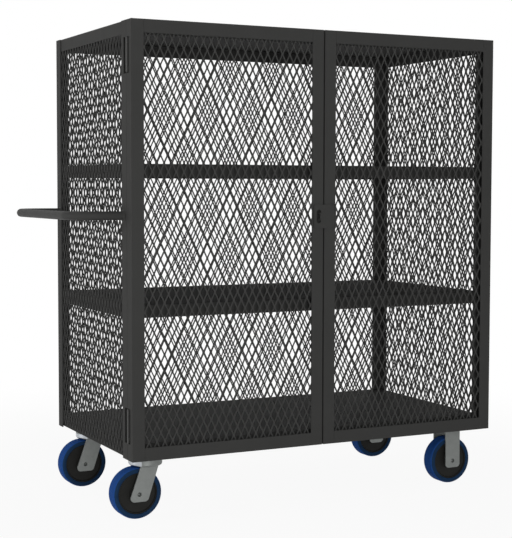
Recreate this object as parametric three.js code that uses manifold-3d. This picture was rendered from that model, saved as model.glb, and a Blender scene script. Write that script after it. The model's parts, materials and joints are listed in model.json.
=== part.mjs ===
// A mesh security cart: a welded cage of angle posts, sheet steel pans and expanded metal,
// two framed mesh doors on butt hinges, a padlock hasp, a tube push handle and four casters.
// Millimetres, +Z up. +X runs from the handle end to the other end, and the doors face -Y.

import * as THREE from 'three';
import { mergeVertices } from 'three/addons/utils/BufferGeometryUtils.js';
import Module from 'manifold-3d';

const wasm = await Module();
wasm.setup();

// Cage: four corner posts, a deck, two shelves and a top
const frameWidth = 1243;
const frameDepth = 627.4;
const frameHeight = 1257;
const postLeg = 38.1;
const postThickness = 3.2;
const deckRise = 41;
const panLip = 38.1;
const panSheet = 2;
const panBend = 3;
const seatGap = 0.3;

// Channels welded under the deck, which the casters bolt to
const channelWidth = 130;
const channelWall = 3;
const channelEndGap = 20;

// Expanded metal: one modelled opening stands for several real diamonds each way
const diamondWidth = 24.4;
const diamondHeight = 50.8;
const diamondsPerOpening = 6;
const strandWidth = 11;
const meshThickness = 2.8;
const meshFootRise = 12.7;
const meshFrontLap = 8;
const meshFieldLap = 3;

// Doors: frames of angle that close over the front of the posts
const doorDepth = 38.1;
const doorLeg = 38.1;
const doorThickness = 3.2;
const doorBackGap = 1;
const doorCentreGap = 4.5;

// Butt hinges in notches across the joint of door and post, their leaves on the inner faces
const hingeHeight = 97;
const hingeInset = 99.5;
const hingeAxisOffset = 2;
const hingeAxisSetForward = 8.1;
const hingeNotchReach = 21.6;
const knuckleRadius = 2.6;
const knuckleGap = 0.5;
const endKnuckleShare = 0.16;
const hingeLeafThickness = 1.6;
const hingeNotchClearance = 1.2;
const hingePinRadius = 1.2;
const hingePinPlay = 0.3;
const hingePinHeadRadius = 2.2;
const hingePinHeadHeight = 1.3;

// Push handle: one bent tube across the left end
const handleTubeRadius = 12.7;
const handleReach = 150;
const handleRise = 703;
const handleBend = 76;
const handleSetback = 27.4;

// Hasp and staple at the meeting of the doors
const haspRise = 697.5;
const haspHeight = 71.4;
const haspLeafThickness = 2.5;
const haspLapLeft = 36;
const haspAxisRight = 37;
const haspKnuckleRadius = 3.6;
const haspBaseThickness = 1.6;
const haspBaseInset = 3;
const haspLeafGap = 0.5;
const haspPinRadius = 1.7;
const haspPinPlay = 0.3;
const haspPinHeadRadius = 2.8;
const haspPinHeadHeight = 1;
const haspCornerRadius = 5;
const stapleInset = 19.5;
const stapleRodRadius = 2.8;
const stapleSpacing = 18;
const stapleReach = 19;
const stapleBend = 6;
const slotWidth = 15.6;
const slotHeight = 41.4;

// Casters: plates, forks and wheels
const casterHeight = 190;
const wheelRadiusShare = 0.4;
const casterInsetDepth = 76;
const swivelInset = 85;
const rigidInset = 85;
const swivelLead = 33;
const plateLength = 114;
const plateWidth = 102;
const plateThickness = 6;
const plateCorner = 10;
const plateHoleRadius = 5.5;
const plateHoleInset = 13;
const racewayRadius = 43.5;
const racewayChamfer = 4;
const dishRadius = 50;
const dishHeight = 26;
const dishSheet = 4.5;
const dishCorner = 6;
const dishClearance = 1.2;
const bearingGap = 0.8;
const kingpinRadius = 8;
const kingpinPlay = 0.5;
const kingpinHeadRadius = 12;
const kingpinHeadHeight = 2;
const forkLegWidth = 55;
const forkLegThickness = 5;
const forkLegFoot = 22;
const forkFootCorner = 12;
const rakedFootWidth = 59;
const rakedFootSetback = 3;
const hubLength = 62;
const hubSideGap = 0.7;

// Wheels: a blue polyurethane tread on a moulded core, a bearing sleeve and a hollow axle
const treadWidth = 51;
const treadThickness = 15;
const treadShoulder = 12;
const treadSideGap = 0.3;
const coreRimWidth = 48;
const coreRimThickness = 9;
const coreWebThickness = 16;
const hubRadius = 20;
const sleeveRadius = 10.6;
const axleRadius = 6.2;
const axlePlay = 0.3;
const axleCupRadius = 4.6;
const axleCupFloor = 2.6;
const axleCupDepth = 5;

// Facets, and how far a cut runs past what it cuts
const overrun = 1;
const knuckleSides = 10;
const tubeSides = 12;
const rodSides = 8;
const boltHoleSides = 6;
const bendSteps = 4;
const cornerSteps = 3;
const shoulderSteps = 3;
const wheelSides = 20;
const swivelSides = 16;
const smallSides = 12;

// Levels and planes worked out from those sizes; x and y start at the cage's left front corner
const doorBack = doorDepth;
const postFront = doorDepth + doorBackGap;
const doorJoint = doorDepth + doorBackGap / 2;
const hingePlane = doorDepth - hingeAxisSetForward;
const rearFace = postFront + frameDepth;
const frameTop = casterHeight + frameHeight;
const tierPitch = (frameHeight - deckRise) / 3;
const panFront = postFront + postThickness + seatGap;
const panRear = rearFace - postThickness - meshThickness - 2 * seatGap;
const panSide = postThickness + meshThickness + 2 * seatGap;
const centreLine = frameWidth / 2;
const doorWidth = centreLine - doorCentreGap / 2;
const openingWidth = diamondWidth * diamondsPerOpening;
const openingHeight = diamondHeight * diamondsPerOpening;
const wheelRadius = casterHeight * wheelRadiusShare;
const axleHeight = wheelRadius;

// Finishes
const powderCoat = { color: 0x3d3d3c, roughness: 0.55, metalness: 0.2 };
const brightZinc = { color: 0xb9bec3, roughness: 0.3, metalness: 0.9 };
const greyZinc = { color: 0x747776, roughness: 0.45, metalness: 0.7 };
const bluePolyurethane = { color: 0x1b3f7c, roughness: 0.45, metalness: 0 };
const blackMoulding = { color: 0x1f1f1d, roughness: 0.6, metalness: 0 };

// Turns a closed three.js geometry into a solid that can be cut and joined
function solid(geometry) {
  geometry.deleteAttribute('normal');
  geometry.deleteAttribute('uv');
  const merged = mergeVertices(geometry);
  const corners = merged.index.array;
  const kept = [];
  for (let i = 0; i < corners.length; i += 3) {
    const [a, b, c] = [corners[i], corners[i + 1], corners[i + 2]];
    if (a !== b && b !== c && c !== a) kept.push(a, b, c);
  }
  const vertProperties = Float32Array.from(merged.attributes.position.array);
  const triVerts = Uint32Array.from(kept);
  return new wasm.Manifold(new wasm.Mesh({ numProp: 3, vertProperties, triVerts }));
}

// Gives a finished solid its name and finish as one mesh of the scene
function piece(name, body, finish) {
  const { vertProperties, triVerts } = body.getMesh();
  const geometry = new THREE.BufferGeometry();
  geometry.setAttribute('position', new THREE.BufferAttribute(Float32Array.from(vertProperties), 3));
  geometry.setIndex(new THREE.BufferAttribute(Uint32Array.from(triVerts), 1));
  geometry.computeVertexNormals();
  const mesh = new THREE.Mesh(geometry, new THREE.MeshStandardMaterial({ ...finish, flatShading: true }));
  mesh.name = name;
  return mesh;
}

// A box between two corners, given in any order
function block(a, b) {
  const size = a.map((value, i) => Math.abs(b[i] - value));
  const centre = a.map((value, i) => (value + b[i]) / 2);
  return solid(new THREE.BoxGeometry(...size)).translate(centre);
}

// An outline drawn out along one axis: (x, y) along z, (x, z) along y, or (y, z) along x
function prism(shape, axis, from, to) {
  const options = { depth: to - from, bevelEnabled: false, curveSegments: cornerSteps };
  const geometry = new THREE.ExtrudeGeometry(shape, options);
  if (axis === 'z') geometry.translate(0, 0, from);
  if (axis === 'y') geometry.rotateX(Math.PI / 2).translate(0, to, 0);
  if (axis === 'x') geometry.rotateX(Math.PI / 2).rotateZ(Math.PI / 2).translate(from, 0, 0);
  return solid(geometry);
}

// A closed outline of straight lines
function polygon(points) {
  return new THREE.Shape(points.map(([u, v]) => new THREE.Vector2(u, v)));
}

// A regular outline with its first corner on the first axis
function regular(radius, sides) {
  const points = [];
  for (let i = 0; i < sides; i += 1) {
    const angle = (2 * Math.PI * i) / sides;
    points.push([radius * Math.cos(angle), radius * Math.sin(angle)]);
  }
  return polygon(points);
}

// An outline whose corners are rounded; each point is [u, v, radius]
function rounded(points) {
  const shape = new THREE.Shape();
  points.forEach(([u, v, radius], i) => {
    const here = new THREE.Vector2(u, v);
    const before = new THREE.Vector2(...points.at(i - 1).slice(0, 2));
    const after = new THREE.Vector2(...points[(i + 1) % points.length].slice(0, 2));
    const start = here.clone().add(before.sub(here).setLength(radius));
    const end = here.clone().add(after.sub(here).setLength(radius));
    if (i === 0) shape.moveTo(start.x, start.y);
    else shape.lineTo(start.x, start.y);
    if (radius > 0) shape.quadraticCurveTo(u, v, end.x, end.y);
  });
  shape.closePath();
  return shape;
}

// A round bar along an axis through a point
function rod(radius, axis, from, to, [u, v], sides) {
  const shift = { x: [0, u, v], y: [u, 0, v], z: [u, v, 0] }[axis];
  return prism(regular(radius, sides), axis, from, to).translate(shift);
}

// A turned piece about the y axis, from a profile of [radius, height along the axis]
function turned(profile, sides) {
  const points = profile.map(([radius, height]) => new THREE.Vector2(radius, height));
  return solid(new THREE.LatheGeometry(points, sides));
}

// The same about the z axis
function turnedUpright(profile, sides) {
  const points = profile.map(([radius, height]) => new THREE.Vector2(radius, height));
  return solid(new THREE.LatheGeometry(points, sides).rotateX(Math.PI / 2));
}

// A path of straight runs and round bends, stepped only at its ends and through its bends
class BentPath extends THREE.Curve {
  constructor(corners, radius) {
    super();
    this.stations = [];
    corners.forEach((corner, i) => {
      const into = i > 0 ? corner.clone().sub(corners[i - 1]).normalize() : null;
      const out = i < corners.length - 1 ? corners[i + 1].clone().sub(corner).normalize() : null;
      if (into && out) this.addBend(corner, into, out, radius);
      else this.stations.push({ point: corner, tangent: into ?? out });
    });
  }

  addBend(corner, into, out, radius) {
    const centre = corner.clone().addScaledVector(into, -radius).addScaledVector(out, radius);
    for (let step = 0; step <= bendSteps; step += 1) {
      const angle = (Math.PI / 2) * (step / bendSteps);
      const tangent = into.clone().multiplyScalar(Math.cos(angle)).addScaledVector(out, Math.sin(angle));
      const arm = into.clone().multiplyScalar(Math.sin(angle)).addScaledVector(out, -Math.cos(angle));
      this.stations.push({ point: centre.clone().addScaledVector(arm, radius), tangent });
    }
  }

  station(u) {
    return this.stations[Math.round(u * (this.stations.length - 1))];
  }

  getPointAt(u) {
    return this.station(u).point.clone();
  }

  getTangentAt(u) {
    return this.station(u).tangent.clone();
  }
}

// A round bar or tube bent along such a path
function bentRod(corners, radius, bend, sides) {
  const path = new BentPath(corners.map((corner) => new THREE.Vector3(...corner)), bend);
  const options = { steps: path.stations.length - 1, extrudePath: path };
  return solid(new THREE.ExtrudeGeometry(regular(radius, sides), options));
}

// An angle section with its heel at the origin and its legs along the given signs
function angleSection(legU, legV, thickness, signU, signV) {
  const points = [
    [0, 0], [legU, 0], [legU, thickness], [thickness, thickness], [thickness, legV], [0, legV],
  ];
  return polygon(points.map(([u, v]) => [u * signU, v * signV]));
}

// The cross-section of a pan: square at its foot, with a bend at each upper corner
function panSection(from, to, foot, top, bend) {
  return rounded([[from, foot, 0], [to, foot, 0], [to, top, bend], [from, top, bend]]);
}

// A sheet steel pan with its lips folded down, between two corners in plan
function pan([x0, y0], [x1, y1], top) {
  const foot = top - panLip;
  const outer = prism(panSection(x0, x1, foot, top, panBend), 'y', y0, y1)
    .intersect(prism(panSection(y0, y1, foot, top, panBend), 'x', x0, x1));
  const innerTop = top - panSheet;
  const innerFoot = foot - overrun;
  const innerBend = panBend - panSheet;
  const alongY = panSection(x0 + panSheet, x1 - panSheet, innerFoot, innerTop, innerBend);
  const alongX = panSection(y0 + panSheet, y1 - panSheet, innerFoot, innerTop, innerBend);
  const inner = prism(alongY, 'y', y0 + panSheet, y1 - panSheet)
    .intersect(prism(alongX, 'x', x0 + panSheet, x1 - panSheet));
  return outer.subtract(inner);
}

// A U channel across the deck's underside, open at its ends and fused to the sheet above it
function casterChannel(x) {
  const foot = casterHeight;
  const roof = casterHeight + deckRise - panSheet / 2;
  const [y0, y1] = [panFront + panSheet + channelEndGap, panRear - panSheet - channelEndGap];
  const half = channelWidth / 2;
  const outer = block([x - half, y0, foot], [x + half, y1, roof]);
  const inner = block(
    [x - half + channelWall, y0 - overrun, foot + channelWall],
    [x + half - channelWall, y1 + overrun, roof],
  );
  return outer.subtract(inner);
}

// Expanded metal: a sheet with staggered diamonds over the field that shows between the frame's legs
function expandedSheet(sheet, field, axis, from) {
  const columns = Math.max(1, Math.round((field.u1 - field.u0) / openingWidth));
  const rows = Math.max(1, Math.round((field.v1 - field.v0) / openingHeight));
  const halfWidth = (field.u1 - field.u0) / (2 * columns);
  const halfHeight = (field.v1 - field.v0) / (2 * rows);
  const inradius = (halfWidth * halfHeight) / Math.hypot(halfWidth, halfHeight);
  const openShare = 1 - strandWidth / 2 / inradius;
  const outline = polygon([
    [sheet.u0, sheet.v0], [sheet.u1, sheet.v0], [sheet.u1, sheet.v1], [sheet.u0, sheet.v1],
  ]);
  const [reachU, reachV] = [halfWidth * openShare, halfHeight * openShare];
  const openings = [];
  const arms = [[reachU, 0], [0, reachV], [-reachU, 0], [0, -reachV]];
  for (let i = 0; i <= 2 * columns; i += 1) {
    for (let j = 0; j <= 2 * rows; j += 1) {
      if ((i + j) % 2 === 0) continue;
      const points = [];
      arms.forEach(([u, v]) => {
        const past = (i === 0 && u < 0) || (i === 2 * columns && u > 0)
          || (j === 0 && v < 0) || (j === 2 * rows && v > 0);
        if (!past) points.push([field.u0 + i * halfWidth + u, field.v0 + j * halfHeight + v]);
      });
      openings.push(polygon(points));
    }
  }
  const cuts = prism(openings, axis, from - overrun, from + meshThickness + overrun);
  return prism(outline, axis, from, from + meshThickness).subtract(cuts);
}

// A corner post: an angle with notches for the hinges where it carries a door
function post(name, left, front) {
  const [signX, signY] = [left ? 1 : -1, front ? 1 : -1];
  const [x, y] = [left ? 0 : frameWidth, front ? postFront : rearFace];
  const section = angleSection(postLeg, postLeg, postThickness, signX, signY);
  let body = prism(section, 'z', casterHeight, frameTop).translate([x, y, 0]);
  if (front) {
    const across = postThickness + seatGap + hingeLeafThickness + hingeNotchClearance;
    for (const level of hingeLevels) {
      const half = hingeHeight / 2 + hingePinHeadHeight + hingeNotchClearance;
      const notch = block(
        [x - signX * overrun, y - overrun, level - half],
        [x + signX * across, doorJoint + hingeNotchReach, level + half],
      );
      body = body.subtract(notch);
    }
  }
  return piece(name, body, powderCoat);
}

const hingeLevels = [casterHeight + hingeInset, frameTop - hingeInset];

// The welded cage
function cage() {
  const group = new THREE.Group();
  const near = [panSide, panFront];
  const far = [frameWidth - panSide, panRear];
  const deckTop = casterHeight + deckRise;
  const deck = pan(near, far, deckTop)
    .add(casterChannel(swivelInset))
    .add(casterChannel(frameWidth - rigidInset));
  group.add(piece('base_deck', deck, powderCoat));
  group.add(piece('lower_shelf', pan(near, far, deckTop + tierPitch), powderCoat));
  group.add(piece('upper_shelf', pan(near, far, deckTop + 2 * tierPitch), powderCoat));
  const lid = postThickness + seatGap;
  const top = pan([lid, panFront], [frameWidth - lid, rearFace - lid], frameTop);
  group.add(piece('top_panel', top, powderCoat));

  group.add(post('front_left_post', true, true));
  group.add(post('front_right_post', false, true));
  group.add(post('rear_left_post', true, false));
  group.add(post('rear_right_post', false, false));

  const meshFoot = casterHeight + meshFootRise;
  const meshHead = frameTop - panLip - seatGap;
  const meshPlane = postThickness + seatGap;
  const fieldFoot = meshFoot + panLip;
  const fieldHead = meshHead - strandWidth;
  const frontLeg = postFront + postLeg;
  const [deepStart, deepEnd] = [frontLeg - meshFrontLap, panRear];
  const sheetDeep = { u0: deepStart, u1: deepEnd, v0: meshFoot, v1: meshHead };
  const [sideStart, sideEnd] = [frontLeg - meshFieldLap, rearFace - postLeg + meshFieldLap];
  const fieldDeep = { u0: sideStart, u1: sideEnd, v0: fieldFoot, v1: fieldHead };
  const sheetWide = { u0: meshPlane, u1: frameWidth - meshPlane, v0: meshFoot, v1: meshHead };
  const [wideStart, wideEnd] = [postLeg - meshFieldLap, frameWidth - postLeg + meshFieldLap];
  const fieldWide = { u0: wideStart, u1: wideEnd, v0: fieldFoot, v1: fieldHead };
  const rightPlane = frameWidth - meshPlane - meshThickness;
  const rearPlane = rearFace - meshPlane - meshThickness;
  group.add(piece('left_side_mesh', expandedSheet(sheetDeep, fieldDeep, 'x', meshPlane), powderCoat));
  group.add(piece('right_side_mesh', expandedSheet(sheetDeep, fieldDeep, 'x', rightPlane), powderCoat));
  group.add(piece('rear_mesh', expandedSheet(sheetWide, fieldWide, 'y', rearPlane), powderCoat));
  return group;
}

// The push handle, butted against the side faces of the left posts
function pushHandle() {
  const level = casterHeight + handleRise;
  const near = postFront + handleSetback;
  const far = rearFace - handleSetback;
  const corners = [
    [-seatGap, near, level], [-handleReach, near, level], [-handleReach, far, level], [-seatGap, far, level],
  ];
  return piece('push_handle', bentRod(corners, handleTubeRadius, handleBend, tubeSides), powderCoat);
}

// One door; u runs inward from the cage's side face, so both doors share one set of sizes
function door(side) {
  const left = side === 'left';
  const at = (u) => (left ? u : frameWidth - u);
  const sign = left ? 1 : -1;
  const group = new THREE.Group();
  const [foot, head] = [casterHeight, frameTop];

  const hingeSection = angleSection(doorLeg, doorDepth, doorThickness, sign, 1);
  let hingeStile = prism(hingeSection, 'z', foot, head).translate([at(0), 0, 0]);
  for (const level of hingeLevels) {
    const half = hingeHeight / 2 + hingePinHeadHeight + hingeNotchClearance;
    const notch = block(
      [at(-overrun), doorJoint - hingeNotchReach, level - half],
      [at(doorThickness + overrun), doorBack + overrun, level + half],
    );
    hingeStile = hingeStile.subtract(notch);
  }
  group.add(piece(`${side}_hinge_stile`, hingeStile, powderCoat));

  const lockSection = angleSection(doorLeg, doorDepth, doorThickness, -sign, 1);
  const lockStile = prism(lockSection, 'z', foot, head).translate([at(doorWidth), 0, 0]);
  group.add(piece(`${side}_lock_stile`, lockStile, powderCoat));

  const railEnd = doorLeg + seatGap;
  const returnEnd = doorThickness + seatGap;
  const behindFace = doorThickness + seatGap;
  for (const [name, edge, inward] of [['top_rail', head, -1], ['bottom_rail', foot, 1]]) {
    const [near, far] = [at(railEnd), at(doorWidth - railEnd)];
    const lip = edge + inward * doorThickness;
    const face = block([near, 0, edge], [far, doorThickness, edge + inward * doorLeg]);
    const middle = block([near, 0, edge], [far, doorBack, lip]);
    const ends = block([at(returnEnd), behindFace, edge], [at(doorWidth - returnEnd), doorBack, lip]);
    group.add(piece(`${side}_${name}`, face.add(middle).add(ends), powderCoat));
  }

  const inOrder = (a, b) => [Math.min(a, b), Math.max(a, b)];
  const fieldLap = doorLeg - meshFieldLap;
  const [sheetStart, sheetEnd] = inOrder(at(returnEnd), at(doorWidth - returnEnd));
  const [fieldStart, fieldEnd] = inOrder(at(fieldLap), at(doorWidth - fieldLap));
  const sheet = { u0: sheetStart, u1: sheetEnd, v0: foot + returnEnd, v1: head - returnEnd };
  const field = { u0: fieldStart, u1: fieldEnd, v0: foot + fieldLap, v1: head - fieldLap };
  group.add(piece(`${side}_door_mesh`, expandedSheet(sheet, field, 'y', behindFace), powderCoat));

  hinge(`${side}_lower_hinge`, sign, at(-hingeAxisOffset), hingeLevels[0], group);
  hinge(`${side}_upper_hinge`, sign, at(-hingeAxisOffset), hingeLevels[1], group);
  return group;
}

// A three-knuckle butt hinge about its own axis; x runs inward with the given sign
function hinge(name, sign, axisX, level, parent) {
  const half = hingeHeight / 2;
  const middle = half - hingeHeight * endKnuckleShare;
  const bore = hingePinRadius + hingePinPlay;
  const barrel = (from, to) => rod(knuckleRadius, 'z', from, to, [0, 0], knuckleSides);
  const hole = rod(bore, 'z', -half - overrun, half + overrun, [0, 0], rodSides);
  const rolled = knuckleRadius - hingeLeafThickness;
  const neck = (side, inner, from, to) => barrel(from, to)
    .add(block([0, side * rolled, from], [sign * inner, side * knuckleRadius, to]));

  const frameX = hingeAxisOffset + postThickness + seatGap;
  const frameInner = frameX + hingeLeafThickness;
  const frameEnd = postFront + postLeg - meshFrontLap - 2 * seatGap - hingePlane;
  const frameLeaf = block([sign * frameX, rolled, -half], [sign * frameInner, frameEnd, half])
    .add(neck(1, frameInner, -half, -middle - knuckleGap))
    .add(neck(1, frameInner, middle + knuckleGap, half))
    .subtract(hole);

  const doorX = hingeAxisOffset + doorThickness + seatGap;
  const doorInner = doorX + hingeLeafThickness;
  const doorEnd = hingePlane - doorThickness - seatGap - meshThickness - hingeNotchClearance;
  const doorLeaf = block([sign * doorX, -doorEnd, -half], [sign * doorInner, -rolled, half])
    .add(neck(-1, doorInner, -middle, middle))
    .subtract(hole);

  const tip = half + hingePinHeadHeight;
  const seat = half + seatGap;
  const pin = turnedUpright([
    [0, -tip], [hingePinRadius, -tip], [hingePinHeadRadius, -seat], [hingePinRadius, -seat],
    [hingePinRadius, seat], [hingePinHeadRadius, seat], [hingePinRadius, tip], [0, tip],
  ], rodSides);

  const group = new THREE.Group();
  group.add(piece(`${name}_frame_leaf`, frameLeaf, powderCoat));
  group.add(piece(`${name}_door_leaf`, doorLeaf, powderCoat));
  group.add(piece(`${name}_pin`, pin, powderCoat));
  group.position.set(axisX, hingePlane, level);
  parent.add(group);
}

// The hasp on the right door and the staple on the left one
function haspSet() {
  const group = new THREE.Group();
  const half = haspHeight / 2;
  const middle = half - haspHeight * endKnuckleShare;
  const barrel = (from, to) => rod(haspKnuckleRadius, 'z', from, to, [0, 0], smallSides);
  const hole = rod(haspPinRadius + haspPinPlay, 'z', -half - overrun, half + overrun, [0, 0], rodSides);
  const sweep = haspKnuckleRadius + haspLeafGap;
  const doorFace = haspKnuckleRadius;

  const baseLeft = -(haspAxisRight - doorCentreGap / 2 - haspBaseInset);
  const base = block([baseLeft, doorFace - haspBaseThickness, -half], [0, doorFace, half])
    .subtract(block(
      [-sweep, doorFace - haspBaseThickness - overrun, -middle - knuckleGap],
      [overrun, doorFace + overrun, middle + knuckleGap],
    ))
    .add(barrel(-half, -middle - knuckleGap))
    .add(barrel(middle + knuckleGap, half))
    .subtract(hole);

  const leafBack = doorFace - haspBaseThickness - haspLeafGap;
  const leafFront = leafBack - haspLeafThickness;
  const leafEnd = -(haspAxisRight + haspLapLeft);
  const plate = prism(rounded([
    [leafEnd, -half, haspCornerRadius], [0, -half, 0], [0, half, 0], [leafEnd, half, haspCornerRadius],
  ]), 'y', leafFront, leafBack);
  const [slotX, slotEnd] = [-(haspAxisRight + stapleInset), slotHeight / 2];
  const slotRadius = slotWidth / 2;
  const slot = prism(rounded([
    [slotX - slotRadius, -slotEnd, slotRadius], [slotX + slotRadius, -slotEnd, slotRadius],
    [slotX + slotRadius, slotEnd, slotRadius], [slotX - slotRadius, slotEnd, slotRadius],
  ]), 'y', leafFront - overrun, leafBack + overrun);
  const endRelief = (from, to) => block(
    [-sweep, leafFront - overrun, from], [overrun, leafBack + overrun, to],
  );
  const leaf = plate.subtract(slot)
    .subtract(endRelief(middle, half + overrun))
    .subtract(endRelief(-half - overrun, -middle))
    .add(barrel(-middle, middle))
    .subtract(hole);

  const seat = half + seatGap;
  const tip = seat + haspPinHeadHeight;
  const pin = turnedUpright([
    [0, -tip], [haspPinHeadRadius, -tip], [haspPinHeadRadius, -seat], [haspPinRadius, -seat],
    [haspPinRadius, seat], [haspPinHeadRadius, seat], [haspPinHeadRadius, tip], [0, tip],
  ], rodSides);

  group.add(piece('hasp_base_leaf', base, powderCoat));
  group.add(piece('hasp_leaf', leaf, powderCoat));
  group.add(piece('hasp_pin', pin, powderCoat));
  group.position.set(centreLine + haspAxisRight, -seatGap - haspKnuckleRadius, casterHeight + haspRise);

  const [low, high] = [-stapleSpacing / 2, stapleSpacing / 2];
  const tipY = -(stapleReach - stapleRodRadius);
  const corners = [[0, -seatGap, low], [0, tipY, low], [0, tipY, high], [0, -seatGap, high]];
  const loop = bentRod(corners, stapleRodRadius, stapleBend, rodSides);
  const staple = piece('padlock_staple', loop, powderCoat);
  staple.position.set(centreLine - stapleInset, 0, casterHeight + haspRise);

  const pair = new THREE.Group();
  pair.add(group, staple);
  return pair;
}

// Four bolt holes through a caster's top plate
function plateWithHoles(top, thickness) {
  const [halfX, halfY] = [plateLength / 2, plateWidth / 2];
  let plate = prism(rounded([
    [-halfX, -halfY, plateCorner], [halfX, -halfY, plateCorner],
    [halfX, halfY, plateCorner], [-halfX, halfY, plateCorner],
  ]), 'z', top - thickness, top);
  const [from, to] = [top - thickness - overrun, top + overrun];
  for (const signX of [-1, 1]) {
    for (const signY of [-1, 1]) {
      const centre = [signX * (halfX - plateHoleInset), signY * (halfY - plateHoleInset)];
      plate = plate.subtract(rod(plateHoleRadius, 'z', from, to, centre, boltHoleSides));
    }
  }
  return plate;
}

// Both legs of a fork, from an outline of [x, z, corner radius], with the axle's holes
function forkLegs(outline, axleX) {
  const inside = hubLength / 2 + hubSideGap;
  const outside = inside + forkLegThickness;
  const shape = rounded(outline);
  const end = outside + overrun;
  const hole = rod(axleRadius + axlePlay, 'y', -end, end, [axleX, axleHeight], smallSides);
  return prism(shape, 'y', inside, outside)
    .add(prism(shape, 'y', -outside, -inside))
    .subtract(hole);
}

// A caster about its own vertical axis, standing on z = 0
function caster(name, swivel) {
  const group = new THREE.Group();
  const plateTop = casterHeight - seatGap;
  const axleX = swivel ? -swivelLead : 0;
  const foot = axleHeight - forkLegFoot;
  const halfLeg = forkLegWidth / 2;
  const plate = plateWithHoles(plateTop, plateThickness);
  const plateFoot = plateTop - plateThickness;
  if (swivel) {
    const dishTop = plateFoot - dishClearance;
    const dishFoot = dishTop - dishHeight;
    const dishFloor = dishFoot + dishSheet;
    const racewayFoot = dishFloor + bearingGap;
    const headTop = dishFoot - bearingGap;
    const headFoot = headTop - kingpinHeadHeight;
    const innerRadius = dishRadius - dishSheet;
    const headSeat = plateFoot + overrun;
    const kingpin = turnedUpright([
      [0, headFoot], [kingpinHeadRadius, headFoot], [kingpinHeadRadius, headTop], [kingpinRadius, headTop],
      [kingpinRadius, racewayFoot], [racewayRadius - racewayChamfer, racewayFoot],
      [racewayRadius, racewayFoot + racewayChamfer], [racewayRadius, headSeat], [0, headSeat],
    ], swivelSides);
    group.add(piece(`${name}_swivel_plate`, plate.add(kingpin), brightZinc));

    const bore = kingpinRadius + kingpinPlay;
    const dishWall = dishFoot + dishCorner;
    const dish = turnedUpright([
      [bore, dishFoot], [dishRadius - dishCorner, dishFoot], [dishRadius, dishWall], [dishRadius, dishTop],
      [innerRadius, dishTop], [innerRadius, dishWall], [innerRadius - dishCorner / 2, dishFloor],
      [bore, dishFloor], [bore, dishFoot],
    ], swivelSides);
    const shoulder = dishFoot + dishSheet / 2;
    const footX = axleX - rakedFootSetback;
    const halfFoot = rakedFootWidth / 2;
    const legs = forkLegs([
      [footX - halfFoot, foot, forkFootCorner], [footX + halfFoot, foot, forkFootCorner],
      [halfLeg, shoulder, 0], [-halfLeg, shoulder, 0],
    ], axleX);
    group.add(piece(`${name}_swivel_fork`, dish.add(legs), greyZinc));
  } else {
    const legs = forkLegs([
      [-halfLeg, foot, forkFootCorner], [halfLeg, foot, forkFootCorner],
      [halfLeg, plateTop - plateThickness / 2, 0], [-halfLeg, plateTop - plateThickness / 2, 0],
    ], axleX);
    group.add(piece(`${name}_rigid_fork`, plate.add(legs), greyZinc));
  }
  const wheel = wheelSet(name);
  wheel.position.set(axleX, 0, axleHeight);
  group.add(wheel);
  return group;
}

// A wheel and its axle about the y axis
function wheelSet(name) {
  const group = new THREE.Group();
  const halfTread = treadWidth / 2;
  const seat = wheelRadius - treadThickness;
  const shoulder = Array.from({ length: shoulderSteps + 1 }, (_, step) => {
    const angle = (Math.PI / 2) * (step / shoulderSteps);
    const [drop, inset] = [1 - Math.cos(angle), 1 - Math.sin(angle)];
    return [wheelRadius - treadShoulder * drop, halfTread - treadShoulder * inset];
  });
  const otherShoulder = shoulder.map(([radius, height]) => [radius, -height]).reverse();
  const tread = turned([
    [seat, -halfTread], ...otherShoulder, ...shoulder, [seat, halfTread], [seat, -halfTread],
  ], wheelSides);
  group.add(piece(`${name}_tread`, tread, bluePolyurethane));

  const rim = seat - treadSideGap;
  const bore = sleeveRadius + treadSideGap;
  const [halfRim, halfWeb, halfHub] = [coreRimWidth / 2, coreWebThickness / 2, hubLength / 2];
  const well = rim - coreRimThickness;
  const core = turned([
    [bore, -halfHub], [hubRadius, -halfHub], [hubRadius, -halfWeb], [well, -halfWeb], [well, -halfRim],
    [rim, -halfRim], [rim, halfRim], [well, halfRim], [well, halfWeb], [hubRadius, halfWeb],
    [hubRadius, halfHub], [bore, halfHub], [bore, -halfHub],
  ], wheelSides);
  group.add(piece(`${name}_wheel_core`, core, blackMoulding));

  const halfSleeve = halfHub + hubSideGap - seatGap;
  const axleBore = axleRadius + axlePlay;
  const sleeve = turned([
    [axleBore, -halfSleeve], [sleeveRadius, -halfSleeve], [sleeveRadius, halfSleeve], [axleBore, halfSleeve],
    [axleBore, -halfSleeve],
  ], smallSides);
  group.add(piece(`${name}_wheel_bearing`, sleeve, brightZinc));

  const halfAxle = halfHub + hubSideGap + forkLegThickness;
  const cupEnd = halfAxle - axleCupDepth;
  const axle = turned([
    [0, -cupEnd], [axleCupFloor, -cupEnd], [axleCupRadius, -halfAxle], [axleRadius, -halfAxle],
    [axleRadius, halfAxle], [axleCupRadius, halfAxle], [axleCupFloor, cupEnd], [0, cupEnd],
  ], smallSides);
  group.add(piece(`${name}_axle`, axle, greyZinc));
  return group;
}

// The whole cart, with its origin on the floor under the middle of its overall box
const cart = new THREE.Group();
cart.add(cage(), pushHandle(), door('left'), door('right'), haspSet());
const rows = { front: postFront + casterInsetDepth, rear: rearFace - casterInsetDepth };
for (const [row, y] of Object.entries(rows)) {
  const swivelCaster = caster(`${row}_left`, true);
  swivelCaster.position.set(swivelInset, y, 0);
  const rigidCaster = caster(`${row}_right`, false);
  rigidCaster.position.set(frameWidth - rigidInset, y, 0);
  cart.add(swivelCaster, rigidCaster);
}
const reachLeft = handleReach + handleTubeRadius;
const reachRight = hingeAxisOffset + knuckleRadius;
cart.position.set(-(frameWidth + reachRight - reachLeft) / 2, -(rearFace - stapleReach) / 2, 0);

export default cart;
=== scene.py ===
import json
import math

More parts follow.
